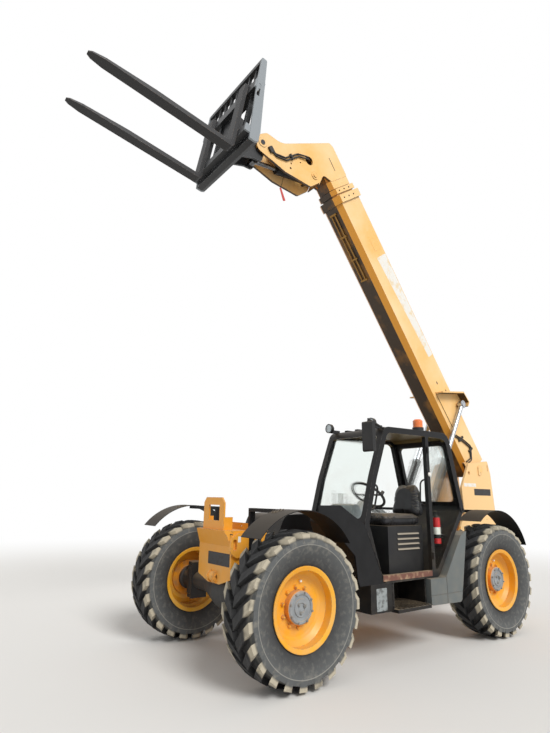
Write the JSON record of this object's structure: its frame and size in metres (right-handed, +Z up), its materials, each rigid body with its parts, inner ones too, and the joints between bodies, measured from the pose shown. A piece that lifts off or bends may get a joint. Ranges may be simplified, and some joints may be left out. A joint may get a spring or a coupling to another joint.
{
  "type": "telehandler",
  "caption": "Telescopic handler with a raised three-stage boom, cranked head and pallet forks, an open left-hand cab and four steered wheels.",
  "frame": {"origin": "on the ground under the middle of the whole outline at rest", "axes": "+X forward, +Y to the driver's left, +Z up"},
  "size_m": [6.472, 2.294, 6.4156],
  "materials": {
    "body_paint": "satin",
    "dark_paint": "satin",
    "grey_paint": "satin",
    "tyre": "matt",
    "chrome": "polished",
    "fork_steel": "worn",
    "cast": "rough",
    "glass": "clear",
    "trim": "matt",
    "seat_cover": "matt",
    "lamp_lens": "clear"
  },
  "bodies": {
    "chassis": {"chassis": "body_paint", "front_axle": "cast", "rear_axle": "cast", "cab_frame": "dark_paint", "cab_glass": "glass", "seat_box": "dark_paint", "seat": "seat_cover", "dash": "trim", "steering_wheel": "trim", "front_mudguards": "trim", "rear_mudguards": "trim", "side_tank": "grey_paint", "step": "dark_paint", "cab_mounts": "dark_paint", "engine_pod": "body_paint", "engine": "cast", "nose_bracket": "body_paint", "extinguisher": "trim", "roof_fittings": "dark_paint", "beacon": "lamp_lens", "battery_box": "dark_paint", "exhaust": "cast", "rear_lamps": "lamp_lens"},
    "bonnet": {"bonnet": "body_paint"},
    "boom_outer": {"boom_outer": "body_paint", "boom_lines": "dark_paint"},
    "boom_mid": {"boom_mid": "body_paint"},
    "boom_inner": {"boom_inner": "body_paint", "head_hoses": "trim"},
    "carriage": {"carriage": "dark_paint", "forks": "fork_steel"},
    "lift_barrels": {"lift_barrels": "grey_paint"},
    "lift_rods": {"lift_rods": "chrome"},
    "tilt_barrel": {"tilt_barrel": "dark_paint"},
    "tilt_rod": {"tilt_rod": "chrome"},
    "swivel_front_left": {"knuckle_front_left": "cast"},
    "wheel_front_left": {"tyre_front_left": "tyre", "rim_front_left": "body_paint", "hub_front_left": "grey_paint"},
    "swivel_front_right": {"knuckle_front_right": "cast"},
    "wheel_front_right": {"tyre_front_right": "tyre", "rim_front_right": "body_paint", "hub_front_right": "grey_paint"},
    "swivel_rear_left": {"knuckle_rear_left": "cast"},
    "wheel_rear_left": {"tyre_rear_left": "tyre", "rim_rear_left": "body_paint", "hub_rear_left": "grey_paint"},
    "swivel_rear_right": {"knuckle_rear_right": "cast"},
    "wheel_rear_right": {"tyre_rear_right": "tyre", "rim_rear_right": "body_paint", "hub_rear_right": "grey_paint"}
  },
  "joints": [
    {"name": "boom_lift", "type": "hinge", "parent": "chassis", "child": "boom_outer", "pos_m": [-2.894, 0, 1.939], "axis": [0, -1, 0], "range_deg": [-57, 16]},
    {"name": "boom_mid_slide", "type": "slide", "parent": "boom_outer", "child": "boom_mid", "axis": [0.5878, 0, 0.809], "range_m": [0, 3.1]},
    {"name": "boom_inner_slide", "type": "slide", "parent": "boom_mid", "child": "boom_inner", "axis": [0.5878, 0, 0.809], "range_m": [0, 3.1]},
    {"name": "carriage_tilt", "type": "hinge", "parent": "boom_inner", "child": "carriage", "pos_m": [1.042, 0, 5.72319], "axis": [0, 1, 0], "range_deg": [-59, 75]},
    {"name": "tilt_barrel_swing", "type": "hinge", "parent": "boom_inner", "child": "tilt_barrel", "pos_m": [0.19163, 0, 5.62287], "axis": [0, -1, 0], "range_deg": [-3, 3]},
    {"name": "tilt_rod_slide", "type": "slide", "parent": "tilt_barrel", "child": "tilt_rod", "axis": [0.9941, 0, -0.1085], "range_m": [-0.21, 0.165]},
    {"name": "lift_ram_swing", "type": "hinge", "parent": "chassis", "child": "lift_barrels", "pos_m": [-1.48, 0, 0.95], "axis": [0, -1, 0], "range_deg": [-12, 4]},
    {"name": "lift_rod_slide", "type": "slide", "parent": "lift_barrels", "child": "lift_rods", "axis": [-0.5057, 0, 0.8627], "range_m": [-0.86, 0.245]},
    {"name": "bonnet_lift", "type": "hinge", "parent": "chassis", "child": "bonnet", "pos_m": [0, -0.318, 1.023], "axis": [-1, 0, 0], "range_deg": [0, 70]},
    {"name": "steer_front_left", "type": "hinge", "parent": "chassis", "child": "swivel_front_left", "pos_m": [1.16, 0.8, 0.615], "axis": [0, 0, 1], "range_deg": [-30, 30]},
    {"name": "spin_front_left", "type": "hinge", "parent": "swivel_front_left", "child": "wheel_front_left", "pos_m": [1.16, 0.945, 0.615], "axis": [0, 1, 0], "continuous": true},
    {"name": "steer_front_right", "type": "hinge", "parent": "chassis", "child": "swivel_front_right", "pos_m": [1.16, -0.8, 0.615], "axis": [0, 0, 1], "range_deg": [-30, 30]},
    {"name": "spin_front_right", "type": "hinge", "parent": "swivel_front_right", "child": "wheel_front_right", "pos_m": [1.16, -0.945, 0.615], "axis": [0, 1, 0], "continuous": true},
    {"name": "steer_rear_left", "type": "hinge", "parent": "chassis", "child": "swivel_rear_left", "pos_m": [-1.82, 0.8, 0.615], "axis": [0, 0, 1], "range_deg": [-30, 30]},
    {"name": "spin_rear_left", "type": "hinge", "parent": "swivel_rear_left", "child": "wheel_rear_left", "pos_m": [-1.82, 0.945, 0.615], "axis": [0, 1, 0], "continuous": true},
    {"name": "steer_rear_right", "type": "hinge", "parent": "chassis", "child": "swivel_rear_right", "pos_m": [-1.82, -0.8, 0.615], "axis": [0, 0, 1], "range_deg": [-30, 30]},
    {"name": "spin_rear_right", "type": "hinge", "parent": "swivel_rear_right", "child": "wheel_rear_right", "pos_m": [-1.82, -0.945, 0.615], "axis": [0, 1, 0], "continuous": true}
  ],
  "couplings": [
    {"joint": "boom_inner_slide", "follows": "boom_mid_slide", "ratio": 1},
    {"joint": "tilt_barrel_swing", "follows": "carriage_tilt", "ratio": -0.03},
    {"joint": "tilt_rod_slide", "follows": "carriage_tilt", "m_per_rad": -0.158},
    {"joint": "lift_ram_swing", "follows": "boom_lift", "ratio": 0.205},
    {"joint": "lift_rod_slide", "follows": "boom_lift", "m_per_rad": 0.86},
    {"joint": "steer_front_right", "follows": "steer_front_left", "ratio": 1},
    {"joint": "steer_rear_right", "follows": "steer_rear_left", "ratio": 1}
  ]
}
